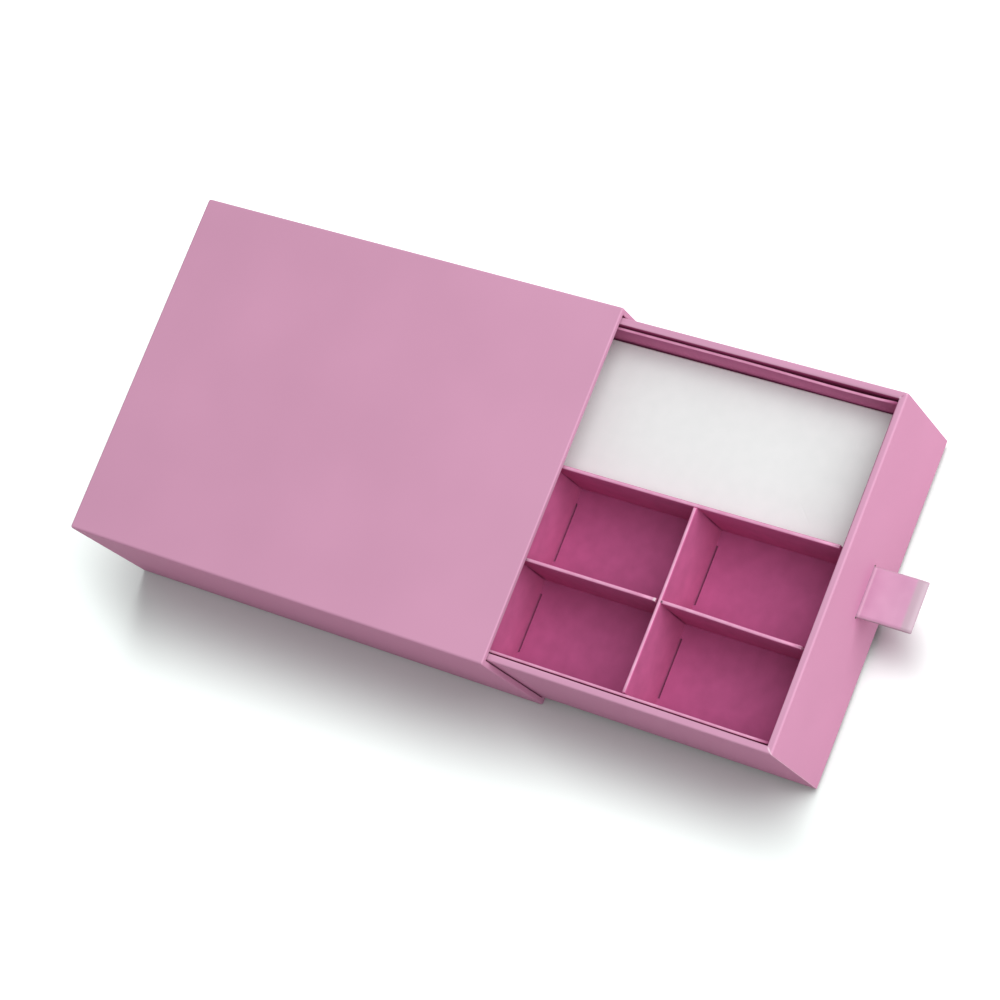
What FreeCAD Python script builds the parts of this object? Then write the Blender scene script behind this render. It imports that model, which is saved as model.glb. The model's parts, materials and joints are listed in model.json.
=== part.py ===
import FreeCAD, Part
import os
import Sketcher
from FreeCAD import Vector

# A sliding drawer gift box in millimetres: a wrapped greyboard sleeve, closed at the back, a
# wrapped drawer that slides in it towards -Y, a folded card tray with half-lapped dividers, a
# white platform card, and a ribbon loop to pull by. +Z is up, and the origin is the middle of
# the sleeve's underside. The drawer is drawn where it rests, pulled partly out.

doc = FreeCAD.newDocument("DrawerGiftBox")
sheet = doc.addObject("Spreadsheet::Sheet", "Sizes")


class Measure:
    """A length that carries both its number and the sheet formula that gives it."""

    def __init__(self, formula, value):
        self.formula = formula
        self.value = value

    def __add__(self, other):
        return combine(self, "+", other)

    def __radd__(self, other):
        return combine(other, "+", self)

    def __sub__(self, other):
        return combine(self, "-", other)

    def __rsub__(self, other):
        return combine(other, "-", self)

    def __mul__(self, other):
        return combine(self, "*", other)

    def __rmul__(self, other):
        return combine(other, "*", self)

    def __truediv__(self, other):
        return combine(self, "/", other)

    def __neg__(self):
        return combine(0, "-", self)


def measure(thing):
    """A plain number as a Measure."""
    if isinstance(thing, Measure):
        return thing
    return Measure(repr(thing), thing)


def combine(left, sign, right):
    """The sum, difference, product or quotient of two lengths, kept as a formula."""
    left = measure(left)
    right = measure(right)
    results = {"+": left.value + right.value, "-": left.value - right.value,
               "*": left.value * right.value}
    if sign == "/":
        results[sign] = left.value / right.value
    return Measure("(%s %s %s)" % (left.formula, sign, right.formula), results[sign])


def size(name, value):
    """A driving size: one cell of the sheet, with its name as the alias."""
    row = len(sheet.getUsedCells()) // 2 + 1
    sheet.set("A%d" % row, name)
    sheet.set("B%d" % row, str(value))
    sheet.setAlias("B%d" % row, name)
    return Measure("Sizes." + name, value)


# ---- Driving sizes -------------------------------------------------------------------------

# The sleeve, outside, and how far the drawer stands out of it at rest.
sleeve_width = size("sleeve_width", 150.0)
sleeve_length = size("sleeve_length", 201.0)
sleeve_height = size("sleeve_height", 62.0)
sleeve_board = size("sleeve_board", 2.0)
drawer_open = size("drawer_open", 122.0)

# The paper that covers every board, its turned-in flaps, the softness of a covered edge, and
# the margin around the sheets that hide the flaps under the sleeve and behind it.
paper = size("paper", 0.2)
turn_in = size("turn_in", 15.0)
board_edge = size("board_edge", 0.9)
sheet_inset = size("sheet_inset", 2.0)

# The drawer, and how freely it fits in the sleeve: beside it, under it, over it and behind it.
drawer_board = size("drawer_board", 2.5)
slide_clearance = size("slide_clearance", 0.4)
floor_clearance = size("floor_clearance", 0.3)
top_clearance = size("top_clearance", 1.6)
back_clearance = size("back_clearance", 2.6)

# The folded card tray inside the drawer. Its walls are two plies, folded over at the rim, and
# crown_flat is what each side of a fold leaves flat on its crown.
card = size("card", 0.6)
insert_gap = size("insert_gap", 0.9)
rim_drop = size("rim_drop", 2.3)
cell_depth = size("cell_depth", 29.2)
crown_flat = size("crown_flat", 0.05)

# The cells, from the drawer's front and from its left side. What is left over is the back
# column and the long compartment.
divider_card = size("divider_card", 1.6)
front_cell_length = size("front_cell_length", 59.6)
middle_cell_length = size("middle_cell_length", 61.6)
left_row_width = size("left_row_width", 36.5)
middle_row_width = size("middle_row_width", 37.6)

# Half-lap joints, tabs and the slots that they seat in.
lap_slack = size("lap_slack", 0.8)
joint_gap = size("joint_gap", 0.1)
tab_width = size("tab_width", 24.5)
tab_drop = size("tab_drop", 2.0)
tab_corner = size("tab_corner", 0.8)
end_corner = size("end_corner", 0.6)
end_tab_low = size("end_tab_low", 9.0)
end_tab_height = size("end_tab_height", 9.0)

# The white card that fills the long compartment to a shallow step.
platform_drop = size("platform_drop", 13.2)
platform_card = size("platform_card", 0.8)
platform_gap = size("platform_gap", 0.5)

# The ribbon: a doubled loop outside, and two tails glued flat inside under a paper patch.
ribbon_width = size("ribbon_width", 20.5)
ribbon_ply = size("ribbon_ply", 0.3)
pull_length = size("pull_length", 22.5)
pull_drop = size("pull_drop", 30.0)
pull_offset = size("pull_offset", 1.3)
loop_radius = size("loop_radius", 1.1)
pinch_length = size("pinch_length", 5.0)
pull_gap = size("pull_gap", 0.05)
slot_height = size("slot_height", 1.4)
slot_margin = size("slot_margin", 0.7)
slot_reach = size("slot_reach", 4.0)
tail_length = size("tail_length", 13.0)
patch_margin = size("patch_margin", 4.0)

# ---- Sizes that follow from them -----------------------------------------------------------

sleeve_wall = sleeve_board + 2 * paper
back_face = sleeve_length / 2
mouth_face = -sleeve_length / 2

drawer_wall = drawer_board + 2 * paper
drawer_width = sleeve_width - 2 * (sleeve_wall + slide_clearance)
drawer_length = sleeve_length - sleeve_wall - back_clearance
drawer_height = sleeve_height - 2 * sleeve_wall - floor_clearance - top_clearance
drawer_left = -drawer_width / 2
drawer_front = mouth_face - drawer_open
drawer_bottom = sleeve_wall + floor_clearance
drawer_top = drawer_bottom + drawer_height

tray_wall = 2 * card
tray_width = drawer_width - 2 * (drawer_wall + insert_gap)
tray_length = drawer_length - 2 * (drawer_wall + insert_gap)
tray_left = -tray_width / 2
tray_front = drawer_front + drawer_wall + insert_gap
tray_bottom = drawer_bottom + drawer_wall
tray_height = drawer_height - drawer_wall - rim_drop
cells_length = tray_length - 2 * tray_wall
riser_height = tray_height - cell_depth - card
cell_floor = tray_bottom + tray_height - cell_depth

# Places inside the tray, from its front left outer corner.
row_divider_x = tray_wall + left_row_width
long_divider_x = row_divider_x + divider_card + middle_row_width
compartment_x = long_divider_x + divider_card
compartment_width = tray_width - tray_wall - compartment_x
front_divider_y = tray_wall + front_cell_length
back_divider_y = front_divider_y + divider_card + middle_cell_length

pull_left = pull_offset - ribbon_width / 2
pull_z = drawer_top - pull_drop


# ---- Modelling helpers ---------------------------------------------------------------------

def bind(thing, path, length):
    """Ties one property of an object to the sheet."""
    thing.setExpression(path, measure(length).formula)


def place(thing, corner):
    """Ties the corner that an object is built from to the sheet."""
    for axis, length in zip("xyz", corner):
        bind(thing, "Placement.Base." + axis, length)


def block(name, corner, sides):
    """A plain Part box from its low corner and its three sides."""
    box = doc.addObject("Part::Box", name)
    for path, side in zip(("Length", "Width", "Height"), sides):
        bind(box, path, side)
    place(box, corner)
    return box


def origin_plane(body, role):
    """One of the three planes that a body carries at its own origin."""
    return [plane for plane in body.Origin.OriginFeatures if plane.Role == role][0]


def new_body(label, corner):
    """An empty PartDesign body, with its origin at a corner of the box's frame."""
    body = doc.addObject("PartDesign::Body", label)
    body.Label = label
    place(body, corner)
    return body


def new_sketch(body, name, role, lift=0):
    """A sketch on one of its body's own planes, lifted off it if need be."""
    sketch = body.newObject("Sketcher::SketchObject", name)
    sketch.AttachmentSupport = [(origin_plane(body, role), "")]
    sketch.MapMode = "FlatFace"
    bind(sketch, "AttachmentOffset.Base.z", lift)
    return sketch


def pin(sketch, geometry, point, corner):
    """Holds one point of a sketch at a distance from its axes. A bare 0 is on the axis."""
    for kind, axis, length in (("DistanceX", -2, corner[0]), ("DistanceY", -1, corner[1])):
        if measure(length).formula == "0":
            sketch.addConstraint(Sketcher.Constraint("PointOnObject", geometry, point, axis))
            continue
        value = measure(length).value
        number = sketch.addConstraint(Sketcher.Constraint(kind, -1, 1, geometry, point, value))
        sketch.setExpression("Constraints[%d]" % number, measure(length).formula)


def flat(corner):
    """A corner's numbers as a point in the sketch."""
    return Vector(measure(corner[0]).value, measure(corner[1]).value, 0)


def outline(sketch, corners, centres=None):
    """A closed outline, anticlockwise.

    After each corner that centres names, an arc about that centre leads straight above or
    below the corner, so its centre's height follows from its ends.
    """
    centres = centres or {}
    first = sketch.GeometryCount
    count = len(corners)
    for index, corner in enumerate(corners):
        start = flat(corner)
        end = flat(corners[(index + 1) % count])
        if index in centres:
            middle = flat(centres[index])
            circle = Part.Circle(middle, Vector(0, 0, 1), (start - middle).Length)
            sketch.addGeometry(Part.ArcOfCircle(circle, circle.parameter(start),
                                                circle.parameter(end)), False)
        else:
            sketch.addGeometry(Part.LineSegment(start, end), False)
    for index in range(count):
        following = first + (index + 1) % count
        sketch.addConstraint(Sketcher.Constraint("Coincident", first + index, 2, following, 1))
    for index, corner in enumerate(corners):
        pin(sketch, first + index, 1, corner)
    for index, centre in centres.items():
        number = sketch.addConstraint(Sketcher.Constraint(
            "DistanceX", -1, 1, first + index, 3, measure(centre[0]).value))
        sketch.setExpression("Constraints[%d]" % number, measure(centre[0]).formula)


def rectangle(sketch, low, high):
    """A rectangle between two corners of a sketch."""
    outline(sketch, [low, (high[0], low[1]), high, (low[0], high[1])])


def pad(body, sketch, depth, backwards=False):
    """Gives a sketch its thickness."""
    feature = body.newObject("PartDesign::Pad", sketch.Name + "Pad")
    feature.Profile = sketch
    feature.Reversed = backwards
    bind(feature, "Length", depth)
    sketch.Visibility = False
    doc.recompute()
    return feature


def pocket(body, sketch, depth=None):
    """Cuts a sketch upwards by a depth, or right through both ways with none."""
    before = body.Shape.Volume
    feature = body.newObject("PartDesign::Pocket", sketch.Name + "Pocket")
    feature.Profile = sketch
    if depth is None:
        feature.Type = "ThroughAll"
        feature.Midplane = True
    else:
        feature.Reversed = True
        bind(feature, "Length", depth)
    sketch.Visibility = False
    doc.recompute()
    assert body.Shape.Volume < before, sketch.Name + " cuts nothing"
    return feature


def soften(body, base, chosen, radius):
    """Rounds those edges of a feature that the test chosen(edge) picks."""
    edges = [index for index, edge in enumerate(base.Shape.Edges, 1) if chosen(edge)]
    fillet = body.newObject("PartDesign::Fillet", body.Name + "Softened")
    fillet.Base = (base, ["Edge%d" % index for index in edges])
    bind(fillet, "Radius", radius)
    doc.recompute()
    return fillet


def around_top(height):
    """A test that picks the edges of a body that lie at its top."""
    return lambda edge: min(vertex.Z for vertex in edge.Vertexes) > height.value - 0.001


def along_top(height, thickness):
    """A test that picks the edges of an upright card that run along its top."""
    at_top = around_top(height)
    return lambda edge: at_top(edge) and edge.Length > 1.001 * thickness.value


def rounded_block(label, corner, sides, radius):
    """A block with every edge softened, as a covered board is."""
    body = new_body(label, corner)
    face = new_sketch(body, label + "Face", "XY_Plane")
    rectangle(face, (0, 0), (sides[0], sides[1]))
    soften(body, pad(body, face, sides[2]), lambda edge: True, radius)
    return body


def cut(label, base, tool):
    """One solid less another."""
    result = doc.addObject("Part::Cut", label)
    result.Label = label
    result.Base = base
    result.Tool = tool
    return result


def common(label, first, second):
    """What two solids share."""
    result = doc.addObject("Part::Common", label)
    result.Label = label
    result.Base = first
    result.Tool = second
    return result


# ---- The sleeve: five boards, their covering, the lining and two pasted sheets ---------------

def inset_box(outer_corner, outer_sides, inset):
    """The corner and sides of a box moved in by the same amount on every side."""
    corner = [start + inset for start in outer_corner]
    sides = [side - 2 * inset for side in outer_sides]
    return corner, sides


sleeve_corner = (-sleeve_width / 2, mouth_face, 0)
sleeve_sides = (sleeve_width, sleeve_length, sleeve_height)
covered_radius = board_edge + paper


def open_front(name, inset, front, back_inset):
    """A hollow in the sleeve, from a plane at the front to the back."""
    corner = (inset - sleeve_width / 2, front, inset)
    depth = back_face - back_inset - front
    sides = (sleeve_width - 2 * inset, depth, sleeve_height - 2 * inset)
    return block(name, corner, sides)


sleeve_envelope = rounded_block("SleeveEnvelope", sleeve_corner, sleeve_sides, covered_radius)
core_corner, core_sides = inset_box(sleeve_corner, sleeve_sides, paper)
sleeve_core = rounded_block("SleeveCore", core_corner, core_sides, board_edge)

board_inset = paper + sleeve_board
reach = mouth_face - sleeve_wall
board_hollow = open_front("SleeveBoardHollow", board_inset, reach, board_inset)
lined_hollow = open_front("SleeveLinedHollow", board_inset, mouth_face + turn_in, board_inset)
clear_hollow = open_front("SleeveClearHollow", sleeve_wall, reach, sleeve_wall)
sleeve_boards = cut("SleeveBoards", sleeve_core, board_hollow)

side_height = sleeve_height - 2 * board_inset
back_width = sleeve_width - 2 * board_inset
left_edge = -sleeve_width / 2
board_zones = {
    "sleeve_top_board": ((left_edge, mouth_face, sleeve_height - board_inset),
                         (sleeve_width, sleeve_length, board_inset)),
    "sleeve_bottom_board": ((left_edge, mouth_face, 0),
                            (sleeve_width, sleeve_length, board_inset)),
    "sleeve_left_board": ((left_edge, mouth_face, board_inset),
                          (board_inset, sleeve_length, side_height)),
    "sleeve_right_board": ((sleeve_width / 2 - board_inset, mouth_face, board_inset),
                           (board_inset, sleeve_length, side_height)),
    "sleeve_back_board": ((-back_width / 2, back_face - board_inset, board_inset),
                          (back_width, board_inset, side_height)),
}
subparts = []
for label, (corner, sides) in board_zones.items():
    zone = block(label + "_zone", corner, sides)
    subparts.append(common(label, sleeve_boards, zone))

sleeve_skin = cut("SleeveSkin", sleeve_envelope, sleeve_boards)
sleeve_skin_lined = cut("SleeveSkinLined", sleeve_skin, lined_hollow)
sleeve_skin_open = cut("SleeveSkinOpen", sleeve_skin_lined, clear_hollow)
sheet_width = sleeve_width - 2 * sheet_inset
base_sheet = block("sleeve_base_sheet",
                   (sheet_inset - sleeve_width / 2, mouth_face + sheet_inset, 0),
                   (sheet_width, sleeve_length - 2 * sheet_inset, paper))
back_sheet = block("sleeve_back_sheet",
                   (sheet_inset - sleeve_width / 2, back_face - paper, sheet_inset),
                   (sheet_width, paper, sleeve_height - 2 * sheet_inset))
sleeve_skin_based = cut("SleeveSkinBased", sleeve_skin_open, base_sheet)
subparts.append(cut("sleeve_wrap", sleeve_skin_based, back_sheet))
subparts.append(cut("sleeve_lining", lined_hollow, clear_hollow))
subparts += [base_sheet, back_sheet]

# ---- The drawer: five boards, their covering and the lining ---------------------------------

drawer_corner = (drawer_left, drawer_front, drawer_bottom)
drawer_sides = (drawer_width, drawer_length, drawer_height)


def open_top(name, inset, top):
    """A hollow in the drawer, from its floor up to a plane."""
    corner = (drawer_left + inset, drawer_front + inset, drawer_bottom + inset)
    sides = (drawer_width - 2 * inset, drawer_length - 2 * inset, top - drawer_bottom - inset)
    return block(name, corner, sides)


drawer_envelope = rounded_block("DrawerEnvelope", drawer_corner, drawer_sides, covered_radius)
core_corner, core_sides = inset_box(drawer_corner, drawer_sides, paper)
drawer_core = rounded_block("DrawerCore", core_corner, core_sides, board_edge)

tray_inset = paper + drawer_board
above = drawer_top + drawer_wall
drawer_board_hollow = open_top("DrawerBoardHollow", tray_inset, above)
drawer_lined_hollow = open_top("DrawerLinedHollow", tray_inset, drawer_top - turn_in)
drawer_clear_hollow = open_top("DrawerClearHollow", drawer_wall, above)
drawer_boards = cut("DrawerBoards", drawer_core, drawer_board_hollow)

ribbon_slot = block("RibbonSlot",
                    (pull_left - slot_margin, drawer_front - slot_reach,
                     pull_z - slot_height / 2),
                    (ribbon_width + 2 * slot_margin, 2 * slot_reach, slot_height))

back_zone_y = drawer_front + drawer_length - tray_inset
between = drawer_length - 2 * tray_inset
drawer_zones = {
    "drawer_front_board": ((drawer_left, drawer_front, drawer_bottom),
                           (drawer_width, tray_inset, drawer_height)),
    "drawer_back_board": ((drawer_left, back_zone_y, drawer_bottom),
                          (drawer_width, tray_inset, drawer_height)),
    "drawer_left_board": ((drawer_left, drawer_front + tray_inset, drawer_bottom),
                          (tray_inset, between, drawer_height)),
    "drawer_right_board": ((-drawer_left - tray_inset, drawer_front + tray_inset, drawer_bottom),
                           (tray_inset, between, drawer_height)),
    "drawer_base_board": ((drawer_left + tray_inset, drawer_front + tray_inset, drawer_bottom),
                          (drawer_width - 2 * tray_inset, between, tray_inset)),
}
for label, (corner, sides) in drawer_zones.items():
    zone = block(label + "_zone", corner, sides)
    if label == "drawer_front_board":
        whole = common("FrontBoardUncut", drawer_boards, zone)
        subparts.append(cut(label, whole, ribbon_slot))
    else:
        subparts.append(common(label, drawer_boards, zone))

drawer_skin = cut("DrawerSkin", drawer_envelope, drawer_boards)
drawer_skin_lined = cut("DrawerSkinLined", drawer_skin, drawer_lined_hollow)
drawer_skin_open = cut("DrawerSkinOpen", drawer_skin_lined, drawer_clear_hollow)
subparts.append(cut("drawer_wrap", drawer_skin_open, ribbon_slot))
drawer_lining_uncut = cut("DrawerLiningUncut", drawer_lined_hollow, drawer_clear_hollow)
subparts.append(cut("drawer_lining", drawer_lining_uncut, ribbon_slot))

# ---- The folded card tray --------------------------------------------------------------------

tray = new_body("insert_tray", (tray_left, tray_front, tray_bottom))

blank = new_sketch(tray, "TrayBlank", "XY_Plane")
rectangle(blank, (0, 0), (tray_width, tray_length))
pad(tray, blank, tray_height)

cells = new_sketch(tray, "TrayCells", "XY_Plane", tray_height - cell_depth)
rectangle(cells, (tray_wall, tray_wall), (tray_width - tray_wall, tray_length - tray_wall))
pocket(tray, cells, cell_depth)

underside = new_sketch(tray, "TrayUnderside", "XY_Plane")
rectangle(underside, (card, card), (tray_width - card, tray_length - card))
pocket(tray, underside, riser_height)

tab_middles = (tray_wall + left_row_width / 2,
               row_divider_x + divider_card + middle_row_width / 2)
floor_slots = new_sketch(tray, "TrayFloorSlots", "XY_Plane")
for divider_y in (front_divider_y, back_divider_y):
    for middle in tab_middles:
        rectangle(floor_slots,
                  (middle - tab_width / 2 - joint_gap, divider_y - lap_slack),
                  (middle + tab_width / 2 + joint_gap, divider_y + divider_card + joint_gap))
pocket(tray, floor_slots, tray_height - cell_depth + card)

end_slots = new_sketch(tray, "TrayEndSlots", "XZ_Plane")
end_slot_low = tray_height - cell_depth + end_tab_low - joint_gap
for divider_x in (row_divider_x, long_divider_x):
    rectangle(end_slots, (divider_x - joint_gap, end_slot_low),
              (divider_x + divider_card + joint_gap,
               end_slot_low + end_tab_height + 2 * joint_gap))
last = pocket(tray, end_slots)

soften(tray, last, around_top(tray_height), card - crown_flat)
subparts.append(tray)

# ---- The dividers ----------------------------------------------------------------------------


def lengthways_outline(notches):
    """A divider that runs from end to end of the tray, with a tab at each end.

    notches are places along it where it is cut down from the top to half its depth.
    """
    end = tray_wall + cells_length
    tab_low = end_tab_low
    tab_high = end_tab_low + end_tab_height
    corners = [(tray_wall, 0), (end, 0), (end, tab_low), (end + tray_wall, tab_low),
               (end + tray_wall, tab_high), (end, tab_high), (end, cell_depth)]
    for low, high in reversed(notches):
        corners += [(high, cell_depth), (high, cell_depth / 2),
                    (low, cell_depth / 2), (low, cell_depth)]
    corners += [(tray_wall, cell_depth), (tray_wall, tab_high), (0, tab_high),
                (0, tab_low), (tray_wall, tab_low)]
    return corners


def lengthways_divider(label, divider_x, notches):
    """A divider that stands on the tray's floor, along the drawer."""
    body = new_body(label, (tray_left + divider_x, tray_front, cell_floor))
    profile = new_sketch(body, label + "Profile", "YZ_Plane")
    outline(profile, lengthways_outline(notches))
    pad(body, profile, divider_card)
    return body


def fold_top(body, height):
    """Rounds the top of a divider, which is one card folded over on itself."""
    soften(body, body.Tip, along_top(height, divider_card), divider_card / 2 - crown_flat)


long_divider = lengthways_divider("long_divider", long_divider_x, [])
tab_slots = new_sketch(long_divider, "LongDividerSlots", "YZ_Plane")
for divider_y in (front_divider_y, back_divider_y):
    rectangle(tab_slots, (divider_y - joint_gap, end_tab_low - joint_gap),
              (divider_y + divider_card + joint_gap, end_tab_low + end_tab_height + joint_gap))
pocket(long_divider, tab_slots)
fold_top(long_divider, cell_depth)
subparts.append(long_divider)

laps = [(y - joint_gap, y + divider_card + lap_slack) for y in (front_divider_y, back_divider_y)]
row_divider = lengthways_divider("row_divider", row_divider_x, laps)
fold_top(row_divider, cell_depth)
subparts.append(row_divider)


def crossways_outline():
    """A divider across the two rows: tabs in the floor, a lap cut from below, an end tab."""
    span = long_divider_x - tray_wall
    crossing = row_divider_x - tray_wall
    foot = tab_drop
    corners = [(0, foot)]
    for middle in tab_middles:
        low = middle - tray_wall - tab_width / 2
        high = low + tab_width
        corners += [(low, foot), (low, tab_corner), (low + tab_corner, 0),
                    (high - tab_corner, 0), (high, tab_corner), (high, foot)]
        if middle is tab_middles[0]:
            corners += [(crossing - joint_gap, foot),
                        (crossing - joint_gap, foot + cell_depth / 2 + joint_gap),
                        (crossing + divider_card + joint_gap,
                         foot + cell_depth / 2 + joint_gap),
                        (crossing + divider_card + joint_gap, foot)]
    corners += [(span, foot), (span, foot + end_tab_low),
                (span + divider_card, foot + end_tab_low),
                (span + divider_card, foot + end_tab_low + end_tab_height),
                (span, foot + end_tab_low + end_tab_height),
                (span, foot + cell_depth - end_corner), (span - end_corner, foot + cell_depth),
                (end_corner, foot + cell_depth), (0, foot + cell_depth - end_corner)]
    return corners


for label, divider_y in (("front_cell_divider", front_divider_y),
                         ("back_cell_divider", back_divider_y)):
    divider = new_body(label, (tray_left + tray_wall, tray_front + divider_y,
                               cell_floor - tab_drop))
    profile = new_sketch(divider, label + "Profile", "XZ_Plane")
    outline(profile, crossways_outline())
    pad(divider, profile, divider_card, backwards=True)
    fold_top(divider, tab_drop + cell_depth)
    subparts.append(divider)

# ---- The hidden card strips that hold the tray's floor up ------------------------------------

riser_left = tray_left + card
riser_front = tray_front + card
riser_width = tray_width - 2 * card
riser_length = tray_length - 2 * card
riser_x = long_divider_x - card
riser_ys = {"front_floor_riser": tray_wall + front_cell_length / 2 - card,
            "back_floor_riser": (back_divider_y + tray_length) / 2 - card}

long_riser = new_body("long_floor_riser", (riser_left + riser_x, riser_front, tray_bottom))
profile = new_sketch(long_riser, "LongRiserProfile", "YZ_Plane")
corners = [(0, 0), (riser_length, 0), (riser_length, riser_height)]
for riser_y in reversed(list(riser_ys.values())):
    corners += [(riser_y + divider_card + joint_gap, riser_height),
                (riser_y + divider_card + joint_gap, riser_height / 2),
                (riser_y - joint_gap, riser_height / 2),
                (riser_y - joint_gap, riser_height)]
corners += [(0, riser_height)]
outline(profile, corners)
pad(long_riser, profile, divider_card)
subparts.append(long_riser)

for label, riser_y in riser_ys.items():
    riser = new_body(label, (riser_left, riser_front + riser_y, tray_bottom))
    profile = new_sketch(riser, label + "Profile", "XZ_Plane")
    outline(profile, [(0, 0), (riser_x - joint_gap, 0),
                      (riser_x - joint_gap, riser_height / 2 + joint_gap),
                      (riser_x + divider_card + joint_gap, riser_height / 2 + joint_gap),
                      (riser_x + divider_card + joint_gap, 0),
                      (riser_width, 0), (riser_width, riser_height), (0, riser_height)])
    pad(riser, profile, divider_card, backwards=True)
    subparts.append(riser)

# ---- The white platform card -----------------------------------------------------------------

platform_height = cell_depth - platform_drop
platform_width = compartment_width - 2 * platform_gap
platform_length = cells_length - 2 * platform_gap
platform = new_body("platform_card",
                    (tray_left + compartment_x + platform_gap,
                     tray_front + tray_wall + platform_gap, cell_floor))
face = new_sketch(platform, "PlatformFace", "XY_Plane")
rectangle(face, (0, 0), (platform_width, platform_length))
pad(platform, face, platform_height)
hollow = new_sketch(platform, "PlatformHollow", "XY_Plane")
rectangle(hollow, (platform_card, platform_card),
          (platform_width - platform_card, platform_length - platform_card))
last = pocket(platform, hollow, platform_height - platform_card)
soften(platform, last, around_top(platform_height), platform_card - 2 * crown_flat)
subparts.append(platform)

# ---- The ribbon ------------------------------------------------------------------------------

# The loop is drawn from its outer fold, so that it ends at the pivot in front of the slot.
pivot_y = drawer_front - ribbon_ply - pull_gap
loop = new_body("ribbon_loop", (pull_left, pivot_y - pull_length, pull_z - loop_radius))
profile = new_sketch(loop, "LoopProfile", "YZ_Plane")
pinch = pull_length - pinch_length
outline(profile,
        [(pinch, 0), (pull_length, loop_radius - ribbon_ply),
         (pull_length, loop_radius + ribbon_ply), (pinch, 2 * loop_radius),
         (loop_radius, 2 * loop_radius), (loop_radius, 0)],
        centres={1: (pull_length, loop_radius), 4: (loop_radius, loop_radius)})
outline(profile,
        [(pinch, ribbon_ply), (pull_length - 2 * ribbon_ply, loop_radius),
         (pinch, 2 * loop_radius - ribbon_ply), (loop_radius, 2 * loop_radius - ribbon_ply),
         (loop_radius, ribbon_ply)],
        centres={3: (loop_radius, loop_radius)})
pad(loop, profile, ribbon_width)
subparts.append(loop)

inner_face = drawer_wall + ribbon_ply
tails = new_body("ribbon_tails", (pull_left, drawer_front, pull_z - tail_length))
profile = new_sketch(tails, "TailsProfile", "YZ_Plane")
outline(profile,
        [(drawer_wall, 0), (inner_face, 0), (inner_face, 2 * tail_length),
         (drawer_wall, 2 * tail_length), (drawer_wall, tail_length + ribbon_ply),
         (0, tail_length + ribbon_ply), (0, tail_length - ribbon_ply),
         (drawer_wall, tail_length - ribbon_ply)])
pad(tails, profile, ribbon_width)
subparts.append(tails)

subparts.append(block("ribbon_patch",
                      (pull_left - patch_margin, drawer_front + inner_face,
                       pull_z - tail_length - patch_margin),
                      (ribbon_width + 2 * patch_margin, paper,
                       2 * (tail_length + patch_margin))))

# ---- Check and write -------------------------------------------------------------------------

doc.recompute()
for thing in doc.Objects:
    if "Invalid" in thing.State or "Error" in thing.State:
        raise RuntimeError("%s could not be built" % thing.Label)

os.makedirs("parts", exist_ok=True)
for subpart in subparts:
    shape = subpart.Shape
    if shape.isNull() or not shape.isValid() or not shape.Solids:
        raise RuntimeError("%s is not a valid solid" % subpart.Label)
    shape.exportStep("parts/%s.step" % subpart.Label)
    box = shape.BoundBox
    print("%-20s %d solid, %9.1f mm3, x %7.1f %7.1f, y %7.1f %7.1f, z %5.1f %5.1f"
          % (subpart.Label, len(shape.Solids), shape.Volume, box.XMin, box.XMax,
             box.YMin, box.YMax, box.ZMin, box.ZMax))
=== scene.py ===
# %% [markdown]
# # A sliding drawer gift box
#
# A rigid gift box is greyboard covered with paper. This one is a sleeve, closed at the back, and a
# drawer that is pulled out of it by a ribbon. A folded card tray with dividers stands in the
# drawer. The frame below holds every piece at its real size; the cells after it dress the pieces.

# %% Open the frame
import json
import math

import bmesh
import bpy
from mathutils import Matrix, Vector


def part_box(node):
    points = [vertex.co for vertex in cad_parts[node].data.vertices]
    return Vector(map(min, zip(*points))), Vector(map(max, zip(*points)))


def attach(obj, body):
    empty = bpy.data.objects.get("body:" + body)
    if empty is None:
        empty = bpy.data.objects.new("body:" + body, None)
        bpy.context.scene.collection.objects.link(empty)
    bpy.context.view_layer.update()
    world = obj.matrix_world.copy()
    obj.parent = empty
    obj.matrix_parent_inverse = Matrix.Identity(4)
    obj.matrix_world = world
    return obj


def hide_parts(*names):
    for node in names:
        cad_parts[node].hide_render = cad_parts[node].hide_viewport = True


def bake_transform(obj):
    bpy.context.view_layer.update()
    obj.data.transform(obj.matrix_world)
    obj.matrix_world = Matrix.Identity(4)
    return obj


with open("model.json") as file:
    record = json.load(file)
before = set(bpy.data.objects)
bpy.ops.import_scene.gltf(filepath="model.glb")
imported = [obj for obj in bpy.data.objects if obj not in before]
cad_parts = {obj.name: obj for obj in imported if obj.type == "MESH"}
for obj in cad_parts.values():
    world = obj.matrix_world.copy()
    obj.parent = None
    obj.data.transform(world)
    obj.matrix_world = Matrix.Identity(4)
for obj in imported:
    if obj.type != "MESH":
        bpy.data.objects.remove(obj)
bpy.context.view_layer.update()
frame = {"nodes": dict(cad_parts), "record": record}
MM = 0.001

# %% [markdown]
# ## The camera
#
# The camera looks down on the box over the drawer's front left corner, rolled so that the long
# side of the sleeve runs down to the right. A long lens keeps the edges nearly parallel.

# %% Camera
LENS = 110.136
SENSOR_WIDTH = 36
FAR_CLIP = 20
STAND_POINT = Vector((-0.199174, -0.637298, 1.089164))
AIM = Vector((0.15833078, 0.46985217, -0.86842979))
UP = Vector((0.91676743, 0.25668773, 0.30602104))

camera_data = bpy.data.cameras.new("camera")
camera_data.lens = LENS
camera_data.sensor_width = SENSOR_WIDTH
camera_data.clip_end = FAR_CLIP
camera = bpy.data.objects.new("camera", camera_data)
bpy.context.scene.collection.objects.link(camera)
side = AIM.cross(UP).normalized()
camera.matrix_world = Matrix.Translation(STAND_POINT) @ Matrix(
    (side, side.cross(AIM), -AIM)).transposed().to_4x4()
bpy.context.scene.camera = camera
print("camera:", LENS, "mm lens")

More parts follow.
